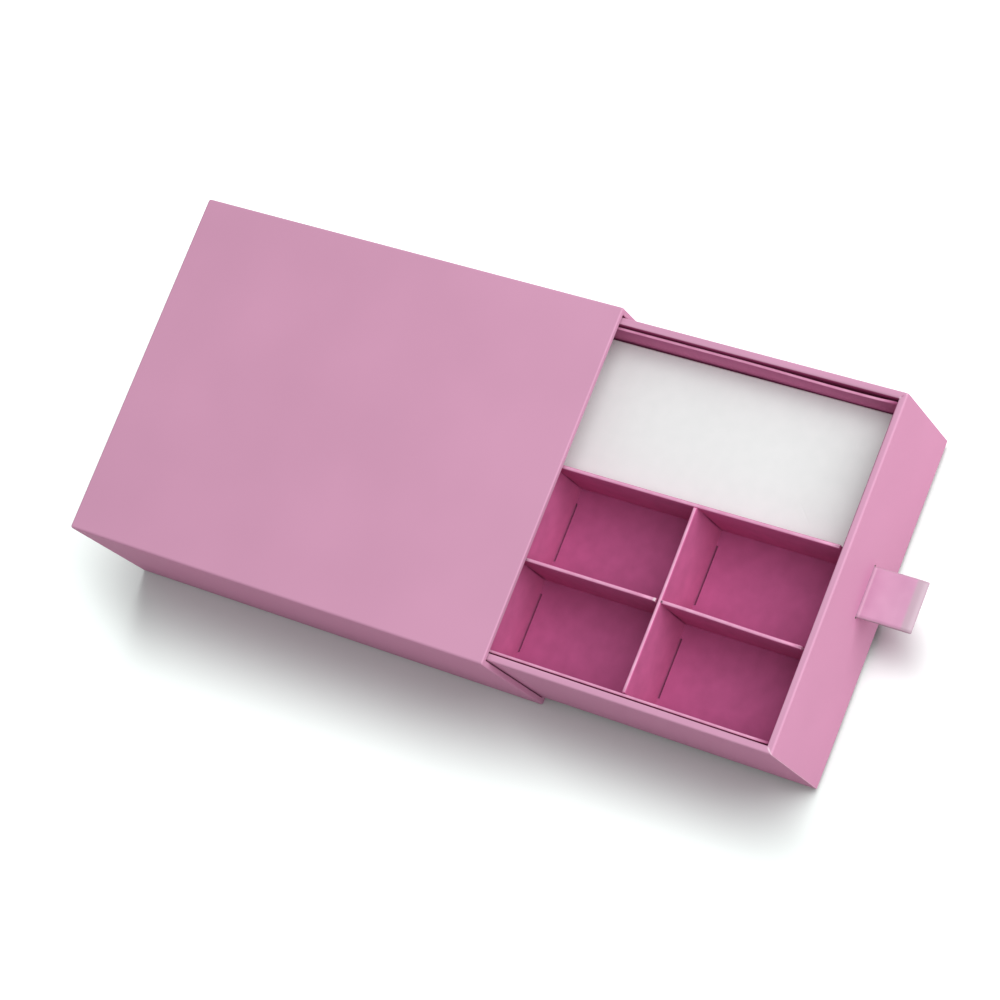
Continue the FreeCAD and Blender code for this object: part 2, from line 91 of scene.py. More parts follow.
# %% [markdown]
# ## The light
#
# Paper looks soft, so its light is soft. One wide softbox stands high at the front and to the
# right: the drawer's front and every edge that faces it are bright, and the left side is in shade.
# The floor has a softbox of its own: a long strip beside the box, at its right. It throws the
# shadow to the left only, and the strip's length keeps the front and the back free of it. Each lamp
# is kept to its own job by light linking. The room adds a little light from everywhere.


# %% Softboxes and room
def softbox(name, place, aim, size, power):
    """An area lamp of one size and power, turned to face a point."""
    lamp_data = bpy.data.lights.new(name, "AREA")
    lamp_data.shape = "RECTANGLE"
    lamp_data.size, lamp_data.size_y = size
    lamp_data.energy = power
    lamp = bpy.data.objects.new(name, lamp_data)
    bpy.context.scene.collection.objects.link(lamp)
    lamp.location = place
    lamp.rotation_euler = (Vector(aim) - Vector(place)).to_track_quat("-Z", "Y").to_euler()
    return lamp


BOX_MIDDLE = (0, -0.06, 0)
ROOM_LEVEL = 0.34
WHITE = (1, 1, 1, 1)

key_light = softbox("key_light", place=(0.44, -1.15, 1.39), aim=BOX_MIDDLE, size=(2.0, 2.2),
                    power=48)
floor_light = softbox("floor_light", place=(0.56, -0.35, 1.32), aim=BOX_MIDDLE,
                      size=(1.9, 0.58), power=34)


def shows_surroundings(tree):
    """Picks the rays that show what is around: seen straight, in a gloss or through glass."""
    ray = tree.nodes.new("ShaderNodeLightPath")
    picked = ray.outputs["Is Camera Ray"]
    for kind in ("Is Glossy Ray", "Is Transmission Ray"):
        either = tree.nodes.new("ShaderNodeMath")
        either.operation = "MAXIMUM"
        tree.links.new(picked, either.inputs[0])
        tree.links.new(ray.outputs[kind], either.inputs[1])
        picked = either.outputs["Value"]
    return picked


room = bpy.data.worlds.new("room")
bpy.context.scene.world = room
room.use_nodes = True
walls = room.node_tree
walls.nodes["Background"].inputs["Color"].default_value = WHITE
level = walls.nodes.new("ShaderNodeMapRange")
level.inputs["To Min"].default_value = ROOM_LEVEL
level.inputs["To Max"].default_value = 1.0
walls.links.new(shows_surroundings(walls), level.inputs["Value"])
walls.links.new(level.outputs["Result"], walls.nodes["Background"].inputs["Strength"])
bpy.context.scene.view_settings.view_transform = "Standard"
print("lamps:", key_light.name, floor_light.name, "- room level", ROOM_LEVEL)

# %% [markdown]
# ## The floor
#
# A sheet of white paper, wide enough to have no edge in view. Seen straight, in a gloss or through
# glass it is nearly white, so that it goes clean white wherever it is well lit and keeps only the
# box's shadow. It is a touch cool there, which offsets the pink that the box throws into its own
# shadow. Light that bounces off it to the box meets a duller, pinker tone instead. That stands in
# for the light that box and paper pass to and fro, and keeps the sides from looking washed out.

# %% Floor
FLOOR_BOUNCE = (0.6, 0.39, 0.48)
FLOOR_SEEN = (0.915, 0.98, 0.955)
FLOOR_HALF_WIDTH = 4
FLOOR_CLEARANCE = 0.1 * MM


def floor_material():
    """A matt white that is seen brighter than the tone that it bounces to the box."""
    material = bpy.data.materials.new("floor_paper")
    material.use_nodes = True
    tree = material.node_tree
    tree.nodes.clear()
    out = tree.nodes.new("ShaderNodeOutputMaterial")
    matt = tree.nodes.new("ShaderNodeBsdfDiffuse")
    tone = tree.nodes.new("ShaderNodeMix")
    tone.data_type = "RGBA"
    tone.inputs["A"].default_value = (*FLOOR_BOUNCE, 1)
    tone.inputs["B"].default_value = (*FLOOR_SEEN, 1)
    tree.links.new(shows_surroundings(tree), tone.inputs["Factor"])
    tree.links.new(tone.outputs["Result"], matt.inputs["Color"])
    tree.links.new(matt.outputs["BSDF"], out.inputs["Surface"])
    return material


floor_mesh = bmesh.new()
bmesh.ops.create_grid(floor_mesh, x_segments=1, y_segments=1, size=FLOOR_HALF_WIDTH)
bmesh.ops.translate(floor_mesh, verts=floor_mesh.verts, vec=(0, 0, -FLOOR_CLEARANCE))
floor_data = bpy.data.meshes.new("floor")
floor_mesh.to_mesh(floor_data)
floor_mesh.free()
floor = bpy.data.objects.new("floor", floor_data)
bpy.context.scene.collection.objects.link(floor)
floor_data.materials.append(floor_material())


def aim_lamp(lamp, thing, state):
    """Lets a lamp reach one thing only, or everything but it, as a flag in a studio does."""
    reach = bpy.data.collections.new(lamp.name + "_reach")
    reach.objects.link(thing)
    lamp.light_linking.receiver_collection = reach
    reach.collection_objects[0].light_linking.link_state = state


aim_lamp(key_light, floor, "EXCLUDE")
aim_lamp(floor_light, floor, "INCLUDE")
print("floor: seen at", FLOOR_SEEN, "and bounces", FLOOR_BOUNCE)

# %% [markdown]
# ## Node groups that the papers share
#
# Every finish here is paper or card, and they differ in colour more than in kind. Three effects
# are built once, as node groups, and placed in each material with its own values:
#
# - paper_grain is the sheet itself: fine fibres for the bump, and slow clouds for the colour.
# - fold_wear_and_highlight picks the folds. Dyed paper is paler where it is creased, because its
#   colour coat cracks, and the folds are also painted paler as a highlight, where a rounded edge
#   catches the light.
#   Pieces carry an attribute named fold, which is 1 on a rounded edge and 0 beside it.
# - crease_line is one straight dent between two points, for a mark pressed into a sheet.


# %% Group helpers
def open_group(name, inputs, outputs):
    """An empty shader node group with named sockets."""
    group = bpy.data.node_groups.new(name, "ShaderNodeTree")
    for label, kind, value in inputs:
        socket = group.interface.new_socket(name=label, in_out="INPUT", socket_type=kind)
        socket.default_value = value
    for label, kind in outputs:
        group.interface.new_socket(name=label, in_out="OUTPUT", socket_type=kind)
    return group, group.nodes.new("NodeGroupInput"), group.nodes.new("NodeGroupOutput")


def calc(tree, operation, *values):
    """One maths node; a value is a number or another node's output."""
    node = tree.nodes.new("ShaderNodeMath")
    node.operation = operation
    for slot, value in zip(node.inputs, values):
        if isinstance(value, (int, float)):
            slot.default_value = value
        else:
            tree.links.new(value, slot)
    return node.outputs["Value"]


def noise(tree, place, scale, detail, roughness=0.5):
    """Noise over a place, with its scale as a number or another node's output."""
    node = tree.nodes.new("ShaderNodeTexNoise")
    node.inputs["Detail"].default_value = detail
    node.inputs["Roughness"].default_value = roughness
    tree.links.new(place, node.inputs["Vector"])
    if isinstance(scale, (int, float)):
        node.inputs["Scale"].default_value = scale
    else:
        tree.links.new(scale, node.inputs["Scale"])
    return node.outputs["Fac"]


def squared(tree, value):
    """A value times itself."""
    return calc(tree, "MULTIPLY", value, value)


def bell(tree, value):
    """A soft peak: 1 where the value is 0, and about 0 where it is 2 or more."""
    return calc(tree, "EXPONENT", calc(tree, "MULTIPLY", squared(tree, value), -1.0))


def attribute(tree, name):
    """The value of an attribute that a piece carries."""
    node = tree.nodes.new("ShaderNodeAttribute")
    node.attribute_name = name
    return node.outputs["Fac"]


def object_place(tree):
    """A point's place in its object's own coordinates."""
    return tree.nodes.new("ShaderNodeTexCoord").outputs["Object"]


print("group helpers ready")

# %% Paper grain
NUMBER = "NodeSocketFloat"
POINT = "NodeSocketVector"
FIBRES = 2200.0
CLOUDS = 22.0

paper_grain, given, made = open_group(
    "paper_grain",
    [("Fibres", NUMBER, FIBRES), ("Clouds", NUMBER, CLOUDS)],
    [("Fibre", NUMBER), ("Cloud", NUMBER)])
place = object_place(paper_grain)
fibre = noise(paper_grain, place, given.outputs["Fibres"], detail=4, roughness=0.6)
cloud = noise(paper_grain, place, given.outputs["Clouds"], detail=2, roughness=0.45)
paper_grain.links.new(fibre, made.inputs["Fibre"])
paper_grain.links.new(cloud, made.inputs["Cloud"])
print("group:", paper_grain.name)

# %% Fold wear and painted highlight
PATCHES = 180.0
WEAR_HIGHLIGHT_SPREAD, WEAR_HIGHLIGHT_LEAST = 1.1, 0.35

# Paler folds are partly wear, where the colour coat cracks, and partly painted highlight along
# rounded edges that catch the light.
fold_wear_and_highlight, given, made = open_group("fold_wear_and_highlight", [("Strength", NUMBER, 0.5)], [("Mask", NUMBER)])
fold = attribute(fold_wear_and_highlight, "fold")
patches = noise(fold_wear_and_highlight, object_place(fold_wear_and_highlight), PATCHES, detail=3)
uneven = calc(fold_wear_and_highlight, "MULTIPLY_ADD", patches, WEAR_HIGHLIGHT_SPREAD, WEAR_HIGHLIGHT_LEAST)
wear_highlight = calc(fold_wear_and_highlight, "MULTIPLY", fold, uneven)
mask = calc(fold_wear_and_highlight, "MULTIPLY", wear_highlight, given.outputs["Strength"])
fold_wear_and_highlight.links.new(calc(fold_wear_and_highlight, "MINIMUM", mask, 1.0), made.inputs["Mask"])
print("group:", fold_wear_and_highlight.name)

# %% Crease line
FADE_POWER = 0.5

crease_line, given, made = open_group(
    "crease_line",
    [("Start", POINT, (0.0, 0.0, 0.0)), ("Middle", POINT, (0.0, 0.0, 0.0)),
     ("Width", NUMBER, 0.0005)],
    [("Mask", NUMBER)])


def vector_step(tree, operation, first, second=None):
    """One vector maths node and its output."""
    node = tree.nodes.new("ShaderNodeVectorMath")
    node.operation = operation
    tree.links.new(first, node.inputs[0])
    if second is not None:
        tree.links.new(second, node.inputs[1])
    return node.outputs["Value" if operation in ("DOT_PRODUCT", "LENGTH") else "Vector"]


place = object_place(crease_line)
to_place = vector_step(crease_line, "SUBTRACT", place, given.outputs["Middle"])
half = vector_step(crease_line, "SUBTRACT", given.outputs["Start"], given.outputs["Middle"])
way = vector_step(crease_line, "NORMALIZE", half)
along = vector_step(crease_line, "DOT_PRODUCT", to_place, way)
total = vector_step(crease_line, "LENGTH", to_place)
beside = calc(crease_line, "SQRT", calc(crease_line, "MAXIMUM", calc(
    crease_line, "SUBTRACT", squared(crease_line, total), squared(crease_line, along)), 0.0))
across_mask = bell(crease_line, calc(crease_line, "DIVIDE", beside, given.outputs["Width"]))
reach = calc(crease_line, "DIVIDE", calc(crease_line, "ABSOLUTE", along),
             vector_step(crease_line, "LENGTH", half))
fade = calc(crease_line, "MAXIMUM", calc(crease_line, "SUBTRACT", 1.0, reach), 0.0)
crease_line.links.new(calc(crease_line, "MULTIPLY", across_mask, calc(
    crease_line, "POWER", fade, FADE_POWER)), made.inputs["Mask"])
print("group:", crease_line.name)

# %% [markdown]
# ## The papers and the board
#
# One function builds each paper and card: a colour that drifts a little, paler folds (partly wear,
# partly painted highlight), a roughness that follows the fibres, and a very shallow bump. The
# covering paper has a soft, silky face. The tray's card and its dividers are one card in two
# shades: the tray darker, as painted shade on the cell floors, and the dividers paler, as painted
# light on their faces. The white card is the smoothest. A flap turned into a narrow gap sees only
# more pink paper, so it is painted darker and deeper pink there, as its shade, by an attribute
# named inside. Greyboard is recycled pulp, so it is flecked.


# %% Paper material
NOISE_LOW, NOISE_HIGH = 0.3, 0.7
ROUGHNESS_DRIFT = 0.05
PAPER_BUMP, BOARD_BUMP, SATIN_BUMP = 0.5, 0.8, 0.6


def open_material(name):
    """A new material, its node tree and its shader."""
    material = bpy.data.materials.new(name)
    material.use_nodes = True
    return material, material.node_tree, material.node_tree.nodes["Principled BSDF"]


def blend_colours(tree, first, second, factor):
    """A colour mix; a colour is three numbers or another node's output."""
    node = tree.nodes.new("ShaderNodeMix")
    node.data_type = "RGBA"
    for slot, colour in ((node.inputs["A"], first), (node.inputs["B"], second)):
        if isinstance(colour, tuple):
            slot.default_value = (*colour, 1)
        else:
            tree.links.new(colour, slot)
    tree.links.new(factor, node.inputs["Factor"])
    return node.outputs["Result"]


def shade(colour, amount):
    """A colour made lighter or darker by a factor."""
    return tuple(min(part * amount, 1.0) for part in colour)


def use_group(tree, group, **values):
    """Places a node group in a material and sets its inputs."""
    node = tree.nodes.new("ShaderNodeGroup")
    node.node_tree = group
    for label, value in values.items():
        node.inputs[label].default_value = value
    return node


def ranged(tree, value, low, high):
    """Stretches a noise value, which mostly lies near its middle, over a range."""
    node = tree.nodes.new("ShaderNodeMapRange")
    node.inputs["From Min"].default_value = NOISE_LOW
    node.inputs["From Max"].default_value = NOISE_HIGH
    node.inputs["To Min"].default_value = low
    node.inputs["To Max"].default_value = high
    tree.links.new(value, node.inputs["Value"])
    return node.outputs["Result"]


def add_bump(tree, shader, height, strength, distance):
    """A shallow bump, from a height."""
    bump = tree.nodes.new("ShaderNodeBump")
    bump.inputs["Strength"].default_value = strength
    bump.inputs["Distance"].default_value = distance
    tree.links.new(height, bump.inputs["Height"])
    tree.links.new(bump.outputs["Normal"], shader.inputs["Normal"])


def paper_material(name, colour, folded, roughness=0.6, drift=0.03, wear_and_highlight=0.5, depth=0.012,
                   gloss=0.4, gap_shade=None, clouds=CLOUDS):
    """A dyed paper or card with its grain, its drift of colour and its paler folds."""
    material, tree, shader = open_material(name)
    grain = use_group(tree, paper_grain, Fibres=FIBRES, Clouds=clouds)
    clouded = blend_colours(tree, shade(colour, 1 - drift), shade(colour, 1 + drift),
                            ranged(tree, grain.outputs["Cloud"], 0.0, 1.0))
    # Painted shade: the flap inside a narrow gap is blended to a darker, deeper pink.
    if gap_shade:
        clouded = blend_colours(tree, clouded, gap_shade, attribute(tree, "inside"))
    folds = use_group(tree, fold_wear_and_highlight, Strength=wear_and_highlight)
    tree.links.new(blend_colours(tree, clouded, folded, folds.outputs["Mask"]),
                   shader.inputs["Base Color"])
    tree.links.new(ranged(tree, grain.outputs["Fibre"], roughness - ROUGHNESS_DRIFT,
                          roughness + ROUGHNESS_DRIFT), shader.inputs["Roughness"])
    add_bump(tree, shader, grain.outputs["Fibre"], PAPER_BUMP, depth * MM)
    shader.inputs["Specular IOR Level"].default_value = gloss
    return material


def marked_paper(name, base, marks):
    """A copy of a paper with soft or sharp marks of a colour, each along one short line."""
    material = base.copy()
    material.name = name
    tree = material.node_tree
    shader = tree.nodes["Principled BSDF"]
    colour = shader.inputs["Base Color"].links[0].from_socket
    for start, middle, width, tone, strength in marks:
        mark = use_group(tree, crease_line, Start=start, Middle=middle, Width=width)
        colour = blend_colours(tree, colour, tone, calc(
            tree, "MULTIPLY", mark.outputs["Mask"], strength))
    tree.links.new(colour, shader.inputs["Base Color"])
    return material


CARD = {"folded": (0.7, 0.36, 0.52), "drift": 0.06, "wear_and_highlight": 0.9, "gloss": 0.1, "clouds": 150.0}

# The cover's darker flap tone is painted shade for the narrow gaps.
cover_paper = paper_material("cover_paper", (0.565, 0.284, 0.42), folded=(0.85, 0.66, 0.74),
                             drift=0.025, wear_and_highlight=0.9, gloss=0.08, gap_shade=(0.4, 0.07, 0.19))
lining_paper = paper_material("lining_paper", (0.55, 0.24, 0.385), folded=(0.7, 0.4, 0.53))
# One card in two shades: the tray darker, as painted shade on the cell floors, and the dividers
# paler, as painted light on their faces.
tray_paper_painted_shade = paper_material("tray_paper_painted_shade", (0.415, 0.088, 0.222), **CARD)
wall_paper_painted_light = paper_material("wall_paper_painted_light", (0.53, 0.125, 0.285), **CARD)
white_paper = paper_material("white_paper", (0.65, 0.67, 0.665), folded=(0.8, 0.8, 0.8),
                             roughness=0.5, drift=0.012, wear_and_highlight=0.3, depth=0.008)
print("papers:", cover_paper.name, lining_paper.name, tray_paper_painted_shade.name, wall_paper_painted_light.name,
      white_paper.name)


# %% Greyboard
PULP_DARK, PULP_PALE, FLECK = (0.33, 0.29, 0.25), (0.4, 0.36, 0.32), (0.2, 0.17, 0.14)
FLECKS, FLECK_SIZE, FLECK_STRENGTH = 700, 0.16, 0.6


def greyboard_material():
    """Grey recycled board, flecked with darker pulp."""
    material, tree, shader = open_material("greyboard")
    grain = use_group(tree, paper_grain, Fibres=900.0, Clouds=60.0)
    base = blend_colours(tree, PULP_DARK, PULP_PALE,
                         ranged(tree, grain.outputs["Cloud"], 0.0, 1.0))
    flecks = tree.nodes.new("ShaderNodeTexVoronoi")
    flecks.inputs["Scale"].default_value = FLECKS
    tree.links.new(object_place(tree), flecks.inputs["Vector"])
    dark = calc(tree, "LESS_THAN", flecks.outputs["Distance"], FLECK_SIZE)
    tree.links.new(blend_colours(tree, base, FLECK, calc(tree, "MULTIPLY", dark, FLECK_STRENGTH)),
                   shader.inputs["Base Color"])
    tree.links.new(ranged(tree, grain.outputs["Fibre"], 0.8, 0.95), shader.inputs["Roughness"])
    add_bump(tree, shader, grain.outputs["Fibre"], BOARD_BUMP, 0.05 * MM)
    return material


greyboard = greyboard_material()
print("board:", greyboard.name)

# %% [markdown]
# ## Pieces that keep their shape
#
# The boards, the linings, the pasted sheets and the risers already have the right shape: they are
# flat sheets with softened edges. They stay as they are and only get their finish, by the slot that
# the record gives them.

# %% Finishes for the frame's own pieces
finishes = {"outer_paper": cover_paper, "lining_paper": lining_paper, "greyboard": greyboard,
            "insert_card": tray_paper_painted_shade, "white_card": white_paper, "ribbon": cover_paper}

for part in frame["record"]["subparts"]:
    thing = frame["nodes"][part["node"]]
    thing.data.materials.clear()
    thing.data.materials.append(finishes[part["material_slot"]])

# %% [markdown]
# ## The covering paper of the sleeve and the drawer
#
# On the real box one sheet of paper is wrapped round the boards and turned in over the open rim.
# Its edges are soft, because the board under it is pressed round. The cover starts from a plain
# box in bmesh whose edges are bevelled in groups, each with its own radius: those along the
# opening, those round the rim and those round the closed end. The open side is taken out, and
# the rim, its rounded inner edge and the turned-in flap are built there as rows of rectangles,
# each a little further in and down. Vertices on a rounded edge are marked in the fold attribute
# and those of the flap in the inside attribute. A Solidify modifier gives the sheet its
# thickness, inwards from the visible side.
#
# The sleeve's underside and back each carry a pasted sheet of their own, flush with the cover.
# The cover is opened exactly where they lie, so that no two surfaces share a place.

# %% Wrapped covers
PAPER = 0.2 * MM
TURN_IN = 15 * MM
TINY = 0.001 * MM
CUT_TOLERANCE = 1e-7
SHARP_ANGLE = math.radians(40)

# Two walls share an edge along the opening if both face sideways and they are square.
SIDEWAYS, SQUARE = 0.2, 0.01

# How pale a rounded edge is made, partly for wear and partly as painted highlight, and how the
# rim's inner rounding is stepped.
SOFT_WEAR_HIGHLIGHT, FAINT_WEAR_HIGHLIGHT = 0.04, 0.02
RIM_STEPS = 5
RIM_FOOT = 0.9


def bevel_and_mark(bm, edges, radius, segments, wear_highlight=1.0):
    """Rounds edges, and marks the vertices that lie wholly on the rounded strip as folded."""
    fold = bm.verts.layers.float.get("fold") or bm.verts.layers.float.new("fold")
    made = bmesh.ops.bevel(bm, geom=edges, offset=radius, segments=segments, profile=0.5,
                           affect="EDGES", material=-1)
    strip = set(made["faces"])
    for vert in {v for face in strip for v in face.verts}:
        if all(face in strip for face in vert.link_faces):
            vert[fold] = max(vert[fold], wear_highlight)


def running_along(bm, opening):
    """The edges between two walls that meet at a right angle, seen along the opening."""
    chosen = []
    for edge in bm.edges:
        if len(edge.link_faces) == 2:
            first, second = (face.normal - opening * face.normal.dot(opening)
                             for face in edge.link_faces)
            if min(first.length, second.length) > SIDEWAYS and abs(first.dot(second)) < SQUARE:
                chosen.append(edge)
    return chosen


def across_end(bm, opening, level):
    """The edges round one end of the box."""
    return [edge for edge in bm.edges
            if all(abs(v.co.dot(opening) - level) < TINY for v in edge.verts)]


def rectangle(low, high, opening, inset, depth):
    """The corners of the box's open end, moved in from its sides and down from its rim."""
    axis = max(range(3), key=lambda number: abs(opening[number]))
    across, up = (number for number in range(3) if number != axis)
    rim = high[axis] if opening[axis] > 0 else low[axis]
    corners = []
    for right, top in ((0, 0), (1, 0), (1, 1), (0, 1)):
        corner = Vector()
        corner[axis] = rim - opening[axis] * depth
        corner[across] = high[across] - inset if right else low[across] + inset
        corner[up] = high[up] - inset if top else low[up] + inset
        corners.append(corner)
    return corners


def wrapped_cover(low, high, opening, wall, along, rim, base, inner, drop):
    """Paper round a box of boards that is open on one side, with its turned-in flap.

    The radii are those of the edges along the opening, round the rim outside, round the closed
    end, and round the rim inside, where the drop is the height of the rounding over its width.
    """
    bm = bmesh.new()
    bmesh.ops.create_cube(bm, size=1)
    bmesh.ops.scale(bm, vec=high - low, verts=bm.verts)
    bmesh.ops.translate(bm, vec=(low + high) / 2, verts=bm.verts)
    bm.normal_update()
    ends = sorted({round(v.co.dot(opening), 7) for v in bm.verts})
    if along > rim:
        bevel_and_mark(bm, running_along(bm, opening), along, segments=5, wear_highlight=FAINT_WEAR_HIGHLIGHT)
    bevel_and_mark(bm, across_end(bm, opening, ends[1]), rim, segments=5, wear_highlight=SOFT_WEAR_HIGHLIGHT)
    bevel_and_mark(bm, across_end(bm, opening, ends[0]), base, segments=3, wear_highlight=SOFT_WEAR_HIGHLIGHT)
    bm.normal_update()
    # The drawer's upright corners get full fold paleness: a painted highlight line where the edge
    # catches the light.
    if along <= rim:
        bevel_and_mark(bm, running_along(bm, opening), along, segments=2)
        bm.normal_update()
    fold = bm.verts.layers.float.get("fold")
    # inside marks the turned-in flap, which the cover's material paints darker as shade.
    inside = bm.verts.layers.float.new("inside")
    mouth = max(bm.faces, key=lambda face: face.normal.dot(opening) * face.calc_area())
    outside = mouth.edges[:]
    bmesh.ops.delete(bm, geom=[mouth], context="FACES_ONLY")
    row = [bm.verts.new(co) for co in rectangle(low, high, opening, wall - inner, 0)]
    loop = [bm.edges.new((row[number], row[number - 1])) for number in range(4)]
    bmesh.ops.triangle_fill(bm, edges=outside + loop, use_beauty=True, normal=opening)
    stages = [(wall - inner + inner * math.sin(turn), drop * inner * (1 - math.cos(turn)))
              for turn in (math.pi / 2 * number / RIM_STEPS for number in range(1, RIM_STEPS + 1))]
    for inset, depth in stages + [(wall, TURN_IN)]:
        below = [bm.verts.new(co) for co in rectangle(low, high, opening, inset, depth)]
        for number in range(4):
            bm.faces.new((row[number - 1], row[number], below[number], below[number - 1]))
        for vert in below:
            vert[inside] = 1.0 if inset == wall else 0.0
            vert[fold] = 0.0 if depth > inner * drop * RIM_FOOT else SOFT_WEAR_HIGHLIGHT
        row = below
    bmesh.ops.recalc_face_normals(bm, faces=bm.faces)
    broad = max(bm.faces, key=lambda face: face.calc_area())
    if broad.normal.dot(broad.calc_center_median() - (low + high) / 2) < 0:
        bmesh.ops.reverse_faces(bm, faces=bm.faces)
    return bm


def axes_across(facing):
    """The two axes that lie across a direction."""
    return [number for number in range(3) if abs(facing[number]) < 0.5]


def covers(face, point, facing):
    """Whether a flat face, seen along its normal, has a point inside its bounds."""
    for axis in axes_across(facing):
        values = [v.co[axis] for v in face.verts]
        if not min(values) < point[axis] < max(values):
            return False
    return True


def pierce(bm, facing, low, high):
    """Takes a rectangle out of the large face that looks one way, between two corners."""
    bm.normal_update()
    piece = [max(bm.faces, key=lambda face: face.normal.dot(facing) * face.calc_area())]
    middle = (low + high) / 2
    for axis in axes_across(facing):
        for corner in (low, high):
            plane = Vector()
            plane[axis] = 1
            near = list(dict.fromkeys(
                item for face in piece for item in (face, *face.edges, *face.verts)))
            bmesh.ops.bisect_plane(bm, geom=near, plane_co=corner, plane_no=plane,
                                   dist=CUT_TOLERANCE)
            piece = [face for face in bm.faces
                     if face.normal.dot(facing) > 0.999 and covers(face, middle, facing)]
    bmesh.ops.delete(bm, geom=piece, context="FACES")


def settle(name, bm, finish, body, stands_for, thickness=None):
    """Makes a finished object of a bmesh, dressed and riding on its body."""
    data = bpy.data.meshes.new(name)
    bm.to_mesh(data)
    bm.free()
    data.materials.append(finish)
    data.shade_smooth()
    data.set_sharp_from_angle(angle=SHARP_ANGLE)
    thing = bpy.data.objects.new(name, data)
    bpy.context.scene.collection.objects.link(thing)
    if thickness:
        solid = thing.modifiers.new("paper", "SOLIDIFY")
        solid.thickness = thickness
        solid.offset = -1
        solid.use_even_offset = True
    even = thing.modifiers.new("even_faces", "WEIGHTED_NORMAL")
    even.keep_sharp = True
    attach(thing, body)
    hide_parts(*stands_for)
    print(name, "faces:", len(data.polygons))


FRONT = Vector((0, -1, 0))
UPWARD = Vector((0, 0, 1))
sleeve_low, sleeve_high = (Vector(corner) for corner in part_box("sleeve_wrap"))
sleeve_bm = wrapped_cover(sleeve_low, sleeve_high, FRONT, wall=2.4 * MM, along=1.1 * MM,
                          rim=0.6 * MM, base=0.8 * MM, inner=0.45 * MM, drop=1.0)
for sheet, facing in (("sleeve_base_sheet", -UPWARD), ("sleeve_back_sheet", -FRONT)):
    pierce(sleeve_bm, facing, *(Vector(corner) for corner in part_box(sheet)))
settle("sleeve_cover", sleeve_bm, cover_paper, "sleeve", ["sleeve_wrap"], PAPER)

# %% [markdown]
# ## The drawer's cover and its ribbon slot
#
# The drawer is covered the same way, open at the top. Its front is pierced for the ribbon as the
# sleeve's cover is for its sheets. The paper meets at the rim's corners in a mitre, whose small
# bump is painted: pale specks as its highlight and a dark speck as its shade. The front is painted
# a little darker as shade where the ribbon lies over it. Those marks are crease lines in a copy of
# the paper.

# %% Drawer cover
drawer_low, drawer_high = (Vector(corner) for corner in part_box("drawer_wrap"))
drawer_bm = wrapped_cover(drawer_low, drawer_high, UPWARD, wall=2.9 * MM, along=0.3 * MM,
                          rim=0.75 * MM, base=0.5 * MM, inner=1.3 * MM, drop=0.45)
SLOT_LEFT, SLOT_RIGHT = -9.65 * MM, 12.25 * MM
SLOT_LOW, SLOT_HIGH = 27.3 * MM, 28.7 * MM
front_y = drawer_low.y
pierce(drawer_bm, FRONT, Vector((SLOT_LEFT, front_y, SLOT_LOW)),
       Vector((SLOT_RIGHT, front_y, SLOT_HIGH)))
RIM_TOP = drawer_high.z
# Painted tones: a highlight and a shade for the mitre's bump, and a shade beside the ribbon.
MITRE_HIGHLIGHT, MITRE_SHADE, SHADED = (0.9, 0.72, 0.8), (0.3, 0.08, 0.18), (0.55, 0.2, 0.37)


def mitre_speck(corner_x, inward, start, middle, width, tone, strength, sunk=0.0):
    """A painted speck, highlight or shade by its tone, along the mitre of a front corner, by its
    distances from the corner in mm.
    """
    return ((corner_x + inward * start * MM, front_y + start * MM, RIM_TOP),
            (corner_x + inward * middle * MM, front_y + middle * MM, RIM_TOP - sunk * MM),
            width * MM, tone, strength)


drawer_paper = marked_paper("drawer_paper", cover_paper, [
    mitre_speck(drawer_low.x, 1, start=0.6, middle=1.6, width=0.3, tone=MITRE_HIGHLIGHT, strength=0.75),
    mitre_speck(drawer_high.x, -1, start=1.3, middle=1.9, width=0.28, tone=MITRE_SHADE, strength=0.6),
    mitre_speck(drawer_high.x, -1, start=2.1, middle=2.7, width=0.3, tone=MITRE_HIGHLIGHT, strength=0.5,
                sunk=0.2),
    # Painted shade on the front, beside and above where the ribbon lies over it.
    ((-14 * MM, front_y, 27 * MM), (0.0, front_y, 29 * MM), 4.5 * MM, SHADED, 0.5)])
settle("drawer_cover", drawer_bm, drawer_paper, "drawer", ["drawer_wrap"], PAPER)

# %% [markdown]
# ## The drawer's boards
#
# The paper is pulled tight over the boards' cut edges, which crushes them round. Each wall of the
# drawer is a copy of its solid with the inner edge of its rim bevelled to suit the cover.

# %% The drawer's boards
FLAT_ANGLE = math.radians(0.5)
NEAR = 0.01 * MM
CRUSH = 1.0 * MM


def copy_solid(name):
    """A node's mesh as a bmesh with its triangles merged back into flat faces."""
    bm = bmesh.new()
    bm.from_mesh(frame["nodes"][name].data)
    bmesh.ops.remove_doubles(bm, verts=bm.verts, dist=TINY)
    bmesh.ops.dissolve_limit(bm, angle_limit=FLAT_ANGLE, verts=bm.verts, edges=bm.edges)
    return bm


def crushed_board(name, inward):
    """A wall board of the drawer with its rim rounded on the side that faces the tray."""
    bm = copy_solid(name)
    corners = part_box(name)
    top = corners[1][2]
    axis = 0 if abs(inward.x) > 0.5 else 1
    face = corners[1][axis] if inward[axis] > 0 else corners[0][axis]
    edges = [edge for edge in bm.edges
             if all(abs(v.co.z - top) < NEAR and abs(v.co[axis] - face) < NEAR
                    for v in edge.verts)]
    bevel_and_mark(bm, edges, CRUSH, segments=3)
    settle(name + "_crushed", bm, greyboard, "drawer", [name])


for name, inward in (("drawer_front_board", Vector((0, 1, 0))),
                     ("drawer_back_board", Vector((0, -1, 0))),
                     ("drawer_left_board", Vector((1, 0, 0))),
                     ("drawer_right_board", Vector((-1, 0, 0)))):
    crushed_board(name, inward)

